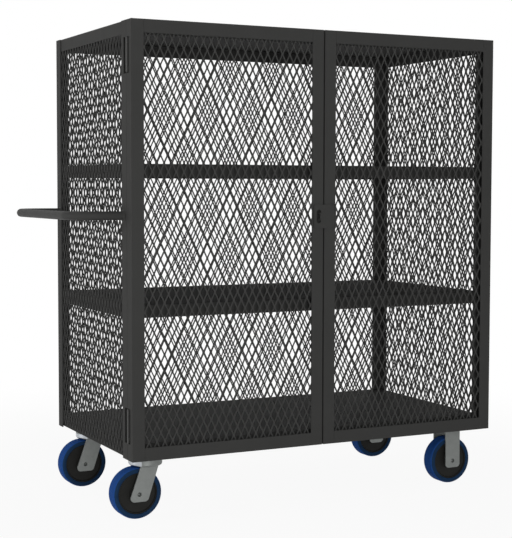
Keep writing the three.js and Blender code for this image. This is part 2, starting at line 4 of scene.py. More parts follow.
import bmesh
import bpy
from mathutils import Matrix, Vector
from mathutils.geometry import tessellate_polygon

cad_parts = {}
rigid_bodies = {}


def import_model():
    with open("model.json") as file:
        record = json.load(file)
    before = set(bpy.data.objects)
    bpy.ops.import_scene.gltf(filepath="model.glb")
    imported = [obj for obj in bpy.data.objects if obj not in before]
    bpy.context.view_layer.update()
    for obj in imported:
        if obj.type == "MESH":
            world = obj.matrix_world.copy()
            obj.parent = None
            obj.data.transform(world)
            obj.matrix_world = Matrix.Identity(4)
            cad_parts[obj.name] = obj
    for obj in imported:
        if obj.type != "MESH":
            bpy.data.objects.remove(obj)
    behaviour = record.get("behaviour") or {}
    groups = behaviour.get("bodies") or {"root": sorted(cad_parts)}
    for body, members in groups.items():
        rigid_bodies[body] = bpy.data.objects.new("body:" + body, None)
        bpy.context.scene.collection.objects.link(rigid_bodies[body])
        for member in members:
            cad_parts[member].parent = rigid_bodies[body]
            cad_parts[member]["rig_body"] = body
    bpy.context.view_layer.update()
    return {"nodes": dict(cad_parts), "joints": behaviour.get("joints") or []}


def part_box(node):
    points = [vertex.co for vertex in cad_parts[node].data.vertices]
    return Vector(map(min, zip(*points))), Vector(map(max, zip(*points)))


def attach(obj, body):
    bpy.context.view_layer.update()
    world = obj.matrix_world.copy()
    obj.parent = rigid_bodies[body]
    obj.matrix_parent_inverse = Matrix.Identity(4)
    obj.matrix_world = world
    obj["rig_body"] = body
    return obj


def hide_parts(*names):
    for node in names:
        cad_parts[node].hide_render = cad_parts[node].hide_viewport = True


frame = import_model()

MM = 0.001

# The photograph's camera, fitted to the straight edges of the cart, from the foot of its front left corner
CAMERA_FROM_CORNER = Vector((-1.3682, -3.5222, 0.7872))
CAMERA_YAW = math.radians(26.5583)
CAMERA_PITCH = math.radians(3.54033)
CAMERA_ROLL = 0.002
CAMERA_LENS = 89.22
CAMERA_SENSOR = 36.0

# Steel: eased edges, welds, and how meshes are cleaned
STEEL_EDGE = 0.5 * MM
LEAF_EDGE = 0.3 * MM
WELD_LEG = 5.0 * MM
MERGE_DISTANCE = 0.01 * MM
FLAT_ANGLE = math.radians(2)
EDGE_ANGLE = math.radians(40)
SMOOTH_ANGLE = math.radians(35)

# Expanded metal at its real size. Points that agree to so many decimals of a metre are one point.
DIAMOND_WIDTH = 24.5 * MM
DIAMOND_HEIGHT = 50.8 * MM
STRAND_WIDTH = 3.3 * MM
BOND_LENGTH = 5.0 * MM
POINT_DECIMALS = 7

# Hinges, hasp and handle
KNUCKLE_RADIUS = 2.6 * MM
KNUCKLE_EDGE = 0.4 * MM
KNUCKLE_GAP = 0.5 * MM
END_KNUCKLE_SHARE = 0.16
HINGE_SHEET = 1.6 * MM
HINGE_LEAF_LAP = 4.0 * MM
HINGE_PIN_RADIUS = 1.2 * MM
HINGE_HEAD_RADIUS = 2.2 * MM
HINGE_HEAD_HEIGHT = 1.3 * MM
HASP_KNUCKLE_RADIUS = 3.6 * MM
HASP_PIN_RADIUS = 1.7 * MM
HASP_SHEET = 2.5 * MM
HASP_BASE_SHEET = 1.6 * MM
HASP_LEAF_GAP = 0.5 * MM
HASP_CORNER = 5.0 * MM
HASP_SLOT_WIDTH = 15.6 * MM
HASP_SLOT_HEIGHT = 41.4 * MM
SLOT_SHADE_MARGIN = 1.0 * MM
STAPLE_BEND_SHARE = 1 / 3
TUBE_RADIUS = 12.7 * MM
TUBE_BEND = 76.0 * MM

# Casters
PLATE_LENGTH = 114.0 * MM
PLATE_WIDTH = 102.0 * MM
PLATE_SHEET = 6.0 * MM
PLATE_CORNER = 10.0 * MM
PLATE_HOLE_RADIUS = 5.5 * MM
PLATE_HOLE_INSET = 13.0 * MM
CHANNEL_WALL = 3.0 * MM
RACE_RADIUS = 43.5 * MM
RACE_BEND = 4.0 * MM
RACE_BITE = 1.0 * MM
DISH_RADIUS = 50.0 * MM
DISH_SHEET = 4.5 * MM
DISH_CORNER = 6.0 * MM
DISH_DROP = 1.2 * MM
DISH_HEIGHT = 26.0 * MM
DISH_HIGHLIGHT_BAND = 16.0 * MM
KINGPIN_RADIUS = 8.0 * MM
KINGPIN_GAP = 0.5 * MM
KINGPIN_HEAD_RADIUS = 12.0 * MM
KINGPIN_HEAD_HEIGHT = 2.0 * MM
BALL_GAP = 0.8 * MM
LEG_WIDTH = 55.0 * MM
LEG_SHEET = 5.0 * MM
LEG_FOOT = 22.0 * MM
LEG_CORNER = 12.0 * MM
LEG_EDGE = 1.4 * MM
RAKED_FOOT_WIDTH = 59.0 * MM
RAKED_FOOT_SETBACK = 3.0 * MM
HUB_GAP = 0.7 * MM
TREAD_THICKNESS = 15.0 * MM
TREAD_SHOULDER = 10.0 * MM
TREAD_FALL = 2.0 * MM
ROLLING_FACE_DEPTH = 3.0 * MM
SEAT_GAP = 0.3 * MM
RIM_WIDTH = 48.0 * MM
RIM_CHAMFER = 1.0 * MM
RIM_LIP = 3.0 * MM
LIP_SLOPE = 2.0 * MM
CORE_DISH = 4.0 * MM
HUB_RADIUS = 20.0 * MM
HUB_ROOT = 5.0 * MM
HUB_CHAMFER = 2.0 * MM
BEARING_RADIUS = 10.6 * MM
SLEEVE_CHAMFER = 0.6 * MM
AXLE_RADIUS = 6.2 * MM
AXLE_CHAMFER = 0.5 * MM
AXLE_CUP_RADIUS = 5.6 * MM
AXLE_CUP_DEPTH = 8.0 * MM
BOLT_RADIUS = 4.0 * MM
NUT_RADIUS = 7.5 * MM
NUT_HEIGHT = 6.5 * MM
NUT_CHAMFER = 1.0 * MM
WASHER_RADIUS = 7.8 * MM
WASHER_SHEET = 1.6 * MM

# Sides of a round form, by its size
WHEEL_SIDES = 96
SIDES = 64
SMALL_SIDES = 24
HEX_SIDES = 6

# The studio, in metres. The veil is how much of the floor's own white lies over the cart's shadow, so that
# the shadow stays faint; away from the cart it thickens to plain white.
LIT_POINT = Vector((0, 0, 0.7))
FLOOR_RADIUS = 12.0
FLOOR_SHEET = 2.0 * MM
SHADOW_VEIL = 0.93
VEIL_NEAR = 0.9
VEIL_FAR = 2.6


# Colour and materials

def linear(hex_colour):
    """The linear colour of an sRGB hex value."""
    channels = [int(hex_colour[i:i + 2], 16) / 255 for i in (1, 3, 5)]
    return [c / 12.92 if c <= 0.04045 else ((c + 0.055) / 1.055) ** 2.4 for c in channels] + [1.0]


def add_node(material, kind, inputs=None, **settings):
    """Adds a node with its settings; an input that is a socket is linked, and any other is a value."""
    node = material.node_tree.nodes.new(kind)
    for name, value in settings.items():
        setattr(node, name, value)
    for name, value in (inputs or {}).items():
        if isinstance(value, bpy.types.NodeSocket):
            material.node_tree.links.new(value, node.inputs[name])
        else:
            node.inputs[name].default_value = value
    return node


def cleared(owner):
    """A material or world with nodes in use and none in it yet."""
    owner.use_nodes = True
    owner.node_tree.nodes.clear()
    return owner


def finish(name, metallic=0.0, ior=None, specular=None):
    """A new material with one surface shader."""
    material = cleared(bpy.data.materials.new(name))
    shader = add_node(material, "ShaderNodeBsdfPrincipled", {"Metallic": metallic})
    if ior is not None:
        shader.inputs["IOR"].default_value = ior
    if specular is not None:
        shader.inputs["Specular IOR Level"].default_value = specular
    add_node(material, "ShaderNodeOutputMaterial", {"Surface": shader.outputs["BSDF"]})
    return material, shader


def mottled(material, size, dark, light, detail=2.0):
    """A cloudy blend of two colours, with clouds of a real size."""
    place = add_node(material, "ShaderNodeTexCoord")
    cloud = add_node(material, "ShaderNodeTexNoise",
                     {"Vector": place.outputs["Object"], "Scale": 1 / size, "Detail": detail})
    blend = add_node(material, "ShaderNodeMix",
                     {"Factor": cloud.outputs["Fac"], "A": linear(dark), "B": linear(light)},
                     data_type="RGBA")
    return blend.outputs["Result"]


def ranged(material, size, low, high):
    """A value that wanders between two ends, with clouds of a real size."""
    place = add_node(material, "ShaderNodeTexCoord")
    cloud = add_node(material, "ShaderNodeTexNoise",
                     {"Vector": place.outputs["Object"], "Scale": 1 / size, "Detail": 2.0})
    wander = add_node(material, "ShaderNodeMapRange",
                      {"Value": cloud.outputs["Fac"], "To Min": low, "To Max": high})
    return wander.outputs["Result"]


def relief(material, size, depth, strength):
    """The normal of a fine bumpy skin, with bumps of a real width and depth."""
    place = add_node(material, "ShaderNodeTexCoord")
    bumps = add_node(material, "ShaderNodeTexNoise",
                     {"Vector": place.outputs["Object"], "Scale": 1 / size, "Detail": 1.0})
    skin = add_node(material, "ShaderNodeBump",
                    {"Height": bumps.outputs["Fac"], "Distance": depth, "Strength": strength})
    return skin.outputs["Normal"]


def connect(material, shader, **inputs):
    """Links sockets to the shader's inputs, with _ for a space in a name."""
    for name, socket in inputs.items():
        material.node_tree.links.new(socket, shader.inputs[name.replace("_", " ")])


def make_charcoal_powder_coat():
    """Polyester powder coat baked on steel: a satin charcoal skin, whose orange peel softens every
    highlight. Orange peel is 2 to 3 mm from crest to crest, and the film is a shade uneven over a hand's
    breadth."""
    material, shader = finish("charcoal_powder_coat", ior=1.5, specular=0.05)
    connect(material, shader,
            Base_Color=mottled(material, 90 * MM, "#3d3d3c", "#414140"),
            Roughness=ranged(material, 35 * MM, 0.6, 0.7),
            Normal=relief(material, 2.6 * MM, 0.05 * MM, strength=0.5))
    return material


def make_shade_painted_pan_coat():
    """The same powder coat on the shelves and the deck's lips: matt, and a shade darker as painted shade."""
    material, shader = finish("shade_painted_pan_coat", ior=1.5, specular=0.02)
    connect(material, shader,
            Base_Color=mottled(material, 90 * MM, "#393938", "#3e3e3d"),
            Roughness=ranged(material, 35 * MM, 0.7, 0.8),
            Normal=relief(material, 2.6 * MM, 0.05 * MM, strength=0.5))
    return material


def make_light_painted_grille_coat():
    """The same powder coat on the expanded metal, a shade lighter: painted light, for the light tilted
    strands catch.
    """
    material, shader = finish("light_painted_grille_coat", ior=1.5, specular=0.05)
    connect(material, shader,
            Base_Color=mottled(material, 60 * MM, "#40403f", "#464645"),
            Roughness=ranged(material, 35 * MM, 0.6, 0.7),
            Normal=relief(material, 2.6 * MM, 0.05 * MM, strength=0.5))
    return material


def make_light_painted_knuckle_coat():
    """The same powder coat on the hinge knuckles and pins: a little smoother, and a shade lighter as painted
    light.
    """
    material, shader = finish("light_painted_knuckle_coat", ior=1.5, specular=0.2)
    connect(material, shader,
            Base_Color=mottled(material, 12 * MM, "#484847", "#525251"),
            Roughness=ranged(material, 5 * MM, 0.42, 0.52),
            Normal=relief(material, 2.6 * MM, 0.03 * MM, strength=0.4))
    return material


def make_handled_powder_coat():
    """The same powder coat on the handle, which hands keep clean and rub to a soft sheen."""
    material, shader = finish("handled_powder_coat", ior=1.5, specular=0.06)
    connect(material, shader,
            Base_Color=mottled(material, 60 * MM, "#3b3b3a", "#414140"),
            Roughness=ranged(material, 20 * MM, 0.46, 0.56),
            Normal=relief(material, 2.6 * MM, 0.04 * MM, strength=0.5))
    return material


def make_shade_painted_notch_steel():
    """Near black on the frame leaves' flats down in the notch: painted shade, for the dark gap beside the
    barrel."""
    material, shader = finish("shade_painted_notch_steel", ior=1.5, specular=0.05)
    connect(material, shader,
            Base_Color=mottled(material, 8 * MM, "#171716", "#1e1e1d"),
            Roughness=ranged(material, 5 * MM, 0.7, 0.8),
            Normal=relief(material, 0.8 * MM, 0.02 * MM, strength=0.4))
    return material


def make_painted_slot_shade():
    """Painted shade on the lock stile behind the hasp's slot: flat, darker than the coat round it."""
    material, shader = finish("painted_slot_shade", ior=1.5, specular=0.05)
    connect(material, shader,
            Base_Color=mottled(material, 8 * MM, "#282827", "#30302f"),
            Roughness=ranged(material, 5 * MM, 0.75, 0.85),
            Normal=relief(material, 1.2 * MM, 0.02 * MM, strength=0.4))
    return material


def make_bright_zinc_plate():
    """Bright zinc electroplate on pressed steel: cold, silvery, with the faint cloud of the chromate
    rinse."""
    material, shader = finish("bright_zinc_plate", metallic=1.0)
    connect(material, shader,
            Base_Color=mottled(material, 14 * MM, "#a2a6aa", "#b8bcc0"),
            Roughness=ranged(material, 9 * MM, 0.24, 0.36),
            Normal=relief(material, 1.2 * MM, 0.02 * MM, strength=0.5))
    return material


def make_dull_zinc_plate():
    """Dull zinc plate on pressed steel: a flat mid grey with soft drawing marks and no mirror to it."""
    material, shader = finish("dull_zinc_plate", metallic=0.7)
    connect(material, shader,
            Base_Color=mottled(material, 18 * MM, "#6e716f", "#7d807e", detail=4.0),
            Roughness=ranged(material, 6 * MM, 0.42, 0.54),
            Normal=relief(material, 1.6 * MM, 0.03 * MM, strength=0.5))
    return material


def make_rolling_face_polyurethane():
    """Cast polyurethane on the face it rolls on: a blue elastomer, lighter than on the sides, matt."""
    material, shader = finish("rolling_face_polyurethane", ior=1.5, specular=0.03)
    connect(material, shader,
            Base_Color=mottled(material, 22 * MM, "#204583", "#264f92"),
            Roughness=ranged(material, 12 * MM, 0.6, 0.72),
            Normal=relief(material, 1.8 * MM, 0.04 * MM, strength=0.5))
    return material


def make_blue_polyurethane():
    """Polyurethane cast on the core: a deep navy elastomer with its mould skin on, waxy, not shiny."""
    material, shader = finish("blue_cast_polyurethane", ior=1.5, specular=0.03)
    connect(material, shader,
            Base_Color=mottled(material, 22 * MM, "#1b304b", "#203a59"),
            Roughness=ranged(material, 12 * MM, 0.52, 0.64),
            Normal=relief(material, 1.8 * MM, 0.03 * MM, strength=0.4))
    return material


def make_black_polyolefin():
    """Polyolefin moulded in a spark-eroded tool: near black, matt, with a fine even grain."""
    material, shader = finish("black_moulded_polyolefin", ior=1.49, specular=0.15)
    connect(material, shader,
            Base_Color=mottled(material, 25 * MM, "#191917", "#20201e"),
            Roughness=ranged(material, 10 * MM, 0.55, 0.68),
            Normal=relief(material, 0.9 * MM, 0.03 * MM, strength=0.5))
    return material


def make_zinc_fastener():
    """Zinc plated steel bolt stock: brighter than the fork, and rougher where the wrench goes."""
    material, shader = finish("zinc_plated_fastener", metallic=1.0)
    connect(material, shader,
            Base_Color=mottled(material, 5 * MM, "#9a9c9b", "#b3b5b4"),
            Roughness=ranged(material, 3 * MM, 0.3, 0.45),
            Normal=relief(material, 0.8 * MM, 0.02 * MM, strength=0.5))
    return material


# A look is a material and the slot that it goes by; a bare material is for some faces of a piece
POWDER_COAT = (make_charcoal_powder_coat(), "powder_coat")
BRIGHT_ZINC = (make_bright_zinc_plate(), "bright_zinc")
SHADE_PAINTED_PAN_COAT = (make_shade_painted_pan_coat(), "powder_coat")
LIGHT_PAINTED_GRILLE_COAT = (make_light_painted_grille_coat(), "powder_coat")
HANDLED_COAT = (make_handled_powder_coat(), "powder_coat")
LIGHT_PAINTED_KNUCKLE_COAT = (make_light_painted_knuckle_coat(), "powder_coat")
NOTCH_SHADE_PAINT = make_shade_painted_notch_steel()
SLOT_SHADE_PAINT = make_painted_slot_shade()
DULL_ZINC = (make_dull_zinc_plate(), "grey_zinc")
POLYURETHANE = (make_blue_polyurethane(), "blue_polyurethane")
ROLLING_FACE_BLUE = make_rolling_face_polyurethane()
MOULDING = (make_black_polyolefin(), "black_moulding")
FASTENER = (make_zinc_fastener(), "grey_zinc")


# Making pieces

def linked(name, mesh):
    """A new object of that mesh in the scene."""
    piece = bpy.data.objects.new(name, mesh)
    bpy.context.scene.collection.objects.link(piece)
    return piece


def blank(name, shape, place=None):
    """An object of a bmesh, put in its place, with its faces turned outwards."""
    bmesh.ops.recalc_face_normals(shape, faces=shape.faces)
    if place is not None:
        shape.transform(place)
    mesh = bpy.data.meshes.new(name)
    shape.to_mesh(mesh)
    shape.free()
    return linked(name, mesh)


def settled(piece):
    """The piece with its modifiers made part of its mesh."""
    graph = bpy.context.evaluated_depsgraph_get()
    mesh = bpy.data.meshes.new_from_object(piece.evaluated_get(graph))
    piece.modifiers.clear()
    piece.data = mesh
    return piece


def joined(piece, other):
    """The piece made one with another, which is used up."""
    weld = piece.modifiers.new("weld", "BOOLEAN")
    weld.operation = "UNION"
    weld.object = other
    weld.solver = "EXACT"
    settled(piece)
    bpy.data.objects.remove(other)
    return piece


def eased(piece, width, segments=2):
    """The piece with its sharp edges rounded off."""
    bevel = piece.modifiers.new("edges", "BEVEL")
    bevel.width = width
    bevel.segments = segments
    bevel.limit_method = "ANGLE"
    bevel.angle_limit = EDGE_ANGLE
    bevel.use_clamp_overlap = True
    return settled(piece)


def dressed(piece, body, look, *nodes, smooth=True):
    """Gives a piece its finish and its body, and names the solids that it stands for."""
    material, slot = look
    piece.data.materials.clear()
    piece.data.materials.append(material)
    if smooth:
        for face in piece.data.polygons:
            face.use_smooth = True
        piece.data.set_sharp_from_angle(angle=SMOOTH_ANGLE)
        weights = piece.modifiers.new("even shading", "WEIGHTED_NORMAL")
        weights.keep_sharp = True
    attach(piece, body)
    if nodes:
        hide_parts(*nodes)
    return piece


def refinish(piece, material, where):
    """Gives another finish to the faces whose middle passes a test."""
    piece.data.materials.append(material)
    for face in piece.data.polygons:
        if where(face.center):
            face.material_index = len(piece.data.materials) - 1


def body_of(node):
    """The body that carries a node."""
    return frame["nodes"][node]["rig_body"]


def joint_at(name):
    """Where a joint's axis is."""
    joint = next(j for j in frame["joints"] if j["name"] == name)
    return Vector(joint["pos_m"])


def middle(node):
    """The middle of a node's box."""
    low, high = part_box(node)
    return (low + high) / 2


def half_size(node):
    """Half the size of a node's box, each way."""
    low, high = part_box(node)
    return (high - low) / 2


# Shapes

def arc(centre, radius, start, end, steps):
    """Points along an arc in a plane, in degrees."""
    angles = [math.radians(start + (end - start) * i / steps) for i in range(steps + 1)]
    return [(centre[0] + radius * math.cos(a), centre[1] + radius * math.sin(a)) for a in angles]


def dome(radius, height, steps=6):
    """The profile of a low dome, from its tip on the axis to its rim."""
    return [(0, height)] + [(radius * x, height * y) for x, y in arc((0, 0), 1, 90, 0, steps)[1:]]


def mirrored(profile):
    """A profile and its reflection about height 0, in one line of points."""
    return profile + [(radius, -height) for radius, height in reversed(profile)]


def turned(profile, sides=SIDES, ring=False):
    """A solid turned about z. A profile of (radius, height) ends on the axis, and a ring's meets itself."""
    shape = bmesh.new()
    rows = []
    for radius, height in profile:
        count = sides if radius > 0 else 1
        angles = [2 * math.pi * i / sides for i in range(count)]
        rows.append([shape.verts.new((radius * math.cos(a), radius * math.sin(a), height)) for a in angles])
    for low, high in zip(rows, rows[1:] + rows[:1] if ring else rows[1:]):
        for i in range(sides):
            j = i + 1
            corners = [low[i % len(low)], low[j % len(low)], high[j % len(high)], high[i % len(high)]]
            shape.faces.new(list(dict.fromkeys(corners)))
    return shape


def rounded(corners, steps=6):
    """An outline with rounded corners; each corner is (x, y, radius)."""
    points = []
    for i, (x, y, radius) in enumerate(corners):
        here = Vector((x, y))
        if radius == 0:
            points.append((x, y))
            continue
        into = (here - Vector(corners[i - 1][:2])).normalized()
        out = (Vector(corners[(i + 1) % len(corners)][:2]) - here).normalized()
        turn = into.angle_signed(out)
        reach = radius * math.tan(abs(turn) / 2)
        side = 1 if turn < 0 else -1
        start = here - into * reach
        centre = start + Vector((-into.y, into.x)) * radius * side
        for step in range(steps + 1):
            spin = Matrix.Rotation(-turn * step / steps, 2)
            points.append(tuple(centre + spin @ (start - centre)))
    return points


def circle(centre, radius, sides=SMALL_SIDES):
    """Points round a circle in a plane."""
    return arc(centre, radius, 0, 360 - 360 / sides, sides - 1)


def plate(outlines, thickness):
    """A flat plate on z = 0, from its rim and the rims of its holes."""
    shape = bmesh.new()
    flat = [Vector((x, y, 0)) for outline in outlines for x, y in outline]
    low = [shape.verts.new(p) for p in flat]
    high = [shape.verts.new(p + Vector((0, 0, thickness))) for p in flat]
    triangles = tessellate_polygon([[Vector((x, y, 0)) for x, y in outline] for outline in outlines])
    for level in (low, high):
        for a, b, c in triangles:
            shape.faces.new((level[a], level[b], level[c]))
    first = 0
    for outline in outlines:
        count = len(outline)
        for i in range(count):
            j = (i + 1) % count
            a, b = first + i, first + j
            shape.faces.new((low[a], low[b], high[b], high[a]))
        first += count
    bmesh.ops.dissolve_limit(shape, angle_limit=FLAT_ANGLE, verts=shape.verts, edges=shape.edges)
    return shape


def bent_path(corners, radius, steps=16):
    """Points along straight runs with round bends between them."""
    points = [Vector(corners[0])]
    for before, corner, after in zip(corners, corners[1:], corners[2:]):
        into = (Vector(corner) - Vector(before)).normalized()
        out = (Vector(after) - Vector(corner)).normalized()
        centre = Vector(corner) - into * radius + out * radius
        for step in range(steps + 1):
            angle = math.pi / 2 * step / steps
            points.append(centre + (into * math.sin(angle) - out * math.cos(angle)) * radius)
    return points + [Vector(corners[-1])]


def swept(points, radius, sides=SMALL_SIDES):
    """A round bar along a flat path, with its ends closed."""
    shape = bmesh.new()
    normal = (points[1] - points[0]).cross(points[-2] - points[0]).normalized()
    rows = []
    for i, point in enumerate(points):
        along = (points[min(i + 1, len(points) - 1)] - points[max(i - 1, 0)]).normalized()
        across = along.cross(normal)
        spokes = [across * math.cos(a) + normal * math.sin(a)
                  for a in (2 * math.pi * k / sides for k in range(sides))]
        rows.append([shape.verts.new(point + spoke * radius) for spoke in spokes])
    for low, high in zip(rows, rows[1:]):
        for i in range(sides):
            j = (i + 1) % sides
            shape.faces.new((low[i], low[j], high[j], high[i]))
    shape.faces.new(rows[0])
    shape.faces.new(rows[-1])
    return shape


def facing(axis, at):
    """The place that turns +z to an axis and moves the origin to a point."""
    return Matrix.Translation(at) @ Vector(axis).to_track_quat("Z", "Y").to_matrix().to_4x4()


def upright(back):
    """The place that stands a plate up along x, with its thickness in front of y = back."""
    return Matrix(((1, 0, 0, 0), (0, 0, -1, back), (0, 1, 0, 0), (0, 0, 0, 1)))


# The cage and the doors: sheet and angle

def steel(node):
    """A solid of the frame with its edges eased, as rolled and folded steel has them."""
    shape = bmesh.new()
    shape.from_mesh(frame["nodes"][node].data)
    bmesh.ops.remove_doubles(shape, verts=shape.verts, dist=MERGE_DISTANCE)
    bmesh.ops.dissolve_limit(shape, angle_limit=FLAT_ANGLE, verts=shape.verts, edges=shape.edges)
    return eased(blank(f"{node}_steel", shape), STEEL_EDGE)


def diamonds(width, height):
    """The points and faces of expanded metal that fills a rectangle: strands, and bonds where they meet."""
    columns = 2 * round(width / DIAMOND_WIDTH)
    rows = 2 * round(height / DIAMOND_HEIGHT)
    half_width, half_height = width / columns, height / rows
    open_share = 1 - STRAND_WIDTH / 2 * math.hypot(half_width, half_height) / (half_width * half_height)
    tip = half_height * open_share
    flat = BOND_LENGTH / 2
    reach = half_width * open_share * (1 - flat / tip)
    places, faces = {}, []

    def corner(i, j, u, v):
        """The number of the point that is (u, v) from a diamond's middle, kept in the rectangle."""
        x = min(max(i * half_width + u, 0), width)
        z = min(max(j * half_height + v, 0), height)
        return places.setdefault((round(x, POINT_DECIMALS), round(z, POINT_DECIMALS)), len(places))

    def strand(i, j, side):
        """The face between a diamond and the next column's, half a row above it (1) or below it (-1)."""
        return [corner(i, j, reach, flat * side), corner(i + 1, j + side, 0, -tip * side),
                corner(i + 1, j + side, -reach, -flat * side), corner(i, j, 0, tip * side)]

    def bond(i, j):
        """The face between four diamonds. At a rim some of its corners are the same point."""
        corners = [corner(i, j - 1, 0, tip),
                   corner(i + 1, j, -reach, -flat), corner(i + 1, j, -reach, flat),
                   corner(i, j + 1, 0, -tip),
                   corner(i - 1, j, reach, flat), corner(i - 1, j, reach, -flat)]
        return list(dict.fromkeys(corners))

    for i in range(columns + 1):
        for j in range(rows + 1):
            if (i + j) % 2 == 0:
                faces.append(bond(i, j))
            elif i < columns:
                faces += [strand(i, j, side) for side in (1, -1) if 0 <= j + side <= rows]
    return list(places), faces


def expanded_metal(node, across):
    """A grille at its real size, in the place of a panel that is thin across x (0) or y (1)."""
    low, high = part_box(node)
    along = 1 - across
    places, faces = diamonds(high[along] - low[along], high.z - low.z)
    points = []
    for x, z in places:
        point = Vector((0, 0, low.z + z))
        point[along] = low[along] + x
        point[across] = low[across]
        points.append(point)
    mesh = bpy.data.meshes.new(f"{node}_grille")
    mesh.from_pydata(points, [], faces)
    shape = bmesh.new()
    shape.from_mesh(mesh)
    bmesh.ops.recalc_face_normals(shape, faces=shape.faces)
    if shape.faces[0].normal[across] > 0:
        bmesh.ops.reverse_faces(shape, faces=shape.faces)
    shape.to_mesh(mesh)
    shape.free()
    panel = linked(f"{node}_grille", mesh)
    thicken = panel.modifiers.new("sheet", "SOLIDIFY")
    thicken.thickness = high[across] - low[across]
    thicken.offset = -1
    return settled(panel)


def paint_slot_shade(stile):
    """Paints shade on a patch of a lock stile round the staple, for the shadow seen through the hasp's slot.
    """
    seat = middle("padlock_staple")
    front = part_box("padlock_staple")[1].y + SLOT_SHADE_MARGIN
    half = Vector((HASP_SLOT_WIDTH, 0, HASP_SLOT_HEIGHT)) / 2 + Vector((SLOT_SHADE_MARGIN, 0, SLOT_SHADE_MARGIN))
    shape = bmesh.new()
    shape.from_mesh(stile.data)
    for normal in (Vector((1, 0, 0)), Vector((0, 0, 1))):
        for side in (-1, 1):
            everything = shape.verts[:] + shape.edges[:] + shape.faces[:]
            bmesh.ops.bisect_plane(shape, geom=everything, plane_co=seat + side * half, plane_no=normal)
    shape.to_mesh(stile.data)
    shape.free()
    # The patch behind the slot takes the dark finish of painted shade.
    refinish(stile, SLOT_SHADE_PAINT,
             lambda at: abs(at.x - seat.x) < half.x and abs(at.z - seat.z) < half.z and at.y < front)


def make_cage():
    """Pans, posts, stiles and rails with eased edges, and the five grilles."""
    # The pans take the darker coat of painted shade; only the deck's top gets the plain coat back.
    deck = dressed(steel("base_deck"), "cart_frame", SHADE_PAINTED_PAN_COAT, "base_deck")
    deck_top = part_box("base_deck")[1].z
    refinish(deck, POWDER_COAT[0], lambda at: at.z > deck_top - STEEL_EDGE)
    for node in ("lower_shelf", "upper_shelf"):
        dressed(steel(node), "cart_frame", SHADE_PAINTED_PAN_COAT, node)
    dressed(steel("top_panel"), "cart_frame", POWDER_COAT, "top_panel")
    for row in ("front", "rear"):
        for side in ("left", "right"):
            node = f"{row}_{side}_post"
            dressed(steel(node), "cart_frame", POWDER_COAT, node)
    for side in ("left", "right"):
        for member in ("hinge_stile", "lock_stile", "top_rail", "bottom_rail"):
            node = f"{side}_{member}"
            piece = dressed(steel(node), body_of(node), POWDER_COAT, node)
            if node == "left_lock_stile":
                paint_slot_shade(piece)
        # The grilles take the lighter coat of painted light.
        for node, across in ((f"{side}_side_mesh", 0), (f"{side}_door_mesh", 1)):
            dressed(expanded_metal(node, across), body_of(node), LIGHT_PAINTED_GRILLE_COAT, node, smooth=False)
    dressed(expanded_metal("rear_mesh", 1), "cart_frame", LIGHT_PAINTED_GRILLE_COAT, "rear_mesh", smooth=False)


# Hinges, hasp and handle

def knuckle(name, axis, low, high, radius, bore):
    """A rolled hinge knuckle about an upright axis, with its rims eased."""
    edge = KNUCKLE_EDGE
    profile = [(bore, low), (radius - edge, low), (radius, low + edge), (radius, high - edge),
               (radius - edge, high), (bore, high)]
    return blank(name, turned(profile, SMALL_SIDES, ring=True), Matrix.Translation((axis.x, axis.y, 0)))


def box_blank(name, low, high):
    """A block between two corners."""
    outline = [(low[0], low[1]), (high[0], low[1]), (high[0], high[1]), (low[0], high[1])]
    return blank(name, plate([outline], high[2] - low[2]), Matrix.Translation((0, 0, low[2])))


def rolled_band(axis, inward, end, reach, foot, top):
    """The stretch of a hinge leaf that is rolled round the pin. Inward is 1 or -1 along x and end along y,
    and reach is how far inward the leaf's face is."""
    slope = math.degrees(math.asin(1 - HINGE_SHEET / KNUCKLE_RADIUS))
    outline = arc((0, 0), KNUCKLE_RADIUS, 90, 360 + slope, steps=20)
    outline += [(reach, KNUCKLE_RADIUS - HINGE_SHEET), (reach, KNUCKLE_RADIUS)]
    rims = [outline, circle((0, 0), HINGE_PIN_RADIUS + SEAT_GAP)]
    placed = [[(axis.x + inward * x, axis.y + end * y) for x, y in rim] for rim in rims]
    return blank("band", plate(placed, top - foot), Matrix.Translation((0, 0, foot)))


def make_hinge_leaf(node, axis, inward, end, span, bands):
    """One leaf in the notch, with bands rolled round the pin. Its ends lap behind the notch's edges."""
    low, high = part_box(node)
    inner = high.x if inward > 0 else low.x
    tip = high.y if end > 0 else low.y
    near, far = sorted((inner, inner - inward * HINGE_SHEET))
    front, back = sorted((tip, axis.y + end * (KNUCKLE_RADIUS - HINGE_SHEET)))
    leaf = box_blank(f"{node}_rolled", (near, front, span[0] - HINGE_LEAF_LAP),
                     (far, back, span[1] + HINGE_LEAF_LAP))
    for foot, top in bands:
        leaf = joined(leaf, rolled_band(axis, inward, end, abs(inner - axis.x), foot, top))
    # The leaf's knuckles take the lighter coat of painted light.
    dressed(eased(leaf, LEAF_EDGE), body_of(node), LIGHT_PAINTED_KNUCKLE_COAT, node)
    # The frame leaf's flat in the notch is near black, as painted shade; the door leaf's flat keeps the
    # plain coat.
    flat_finish = NOTCH_SHADE_PAINT if end > 0 else POWDER_COAT[0]
    refinish(leaf, flat_finish, lambda at: abs(at.y - axis.y) > KNUCKLE_RADIUS)


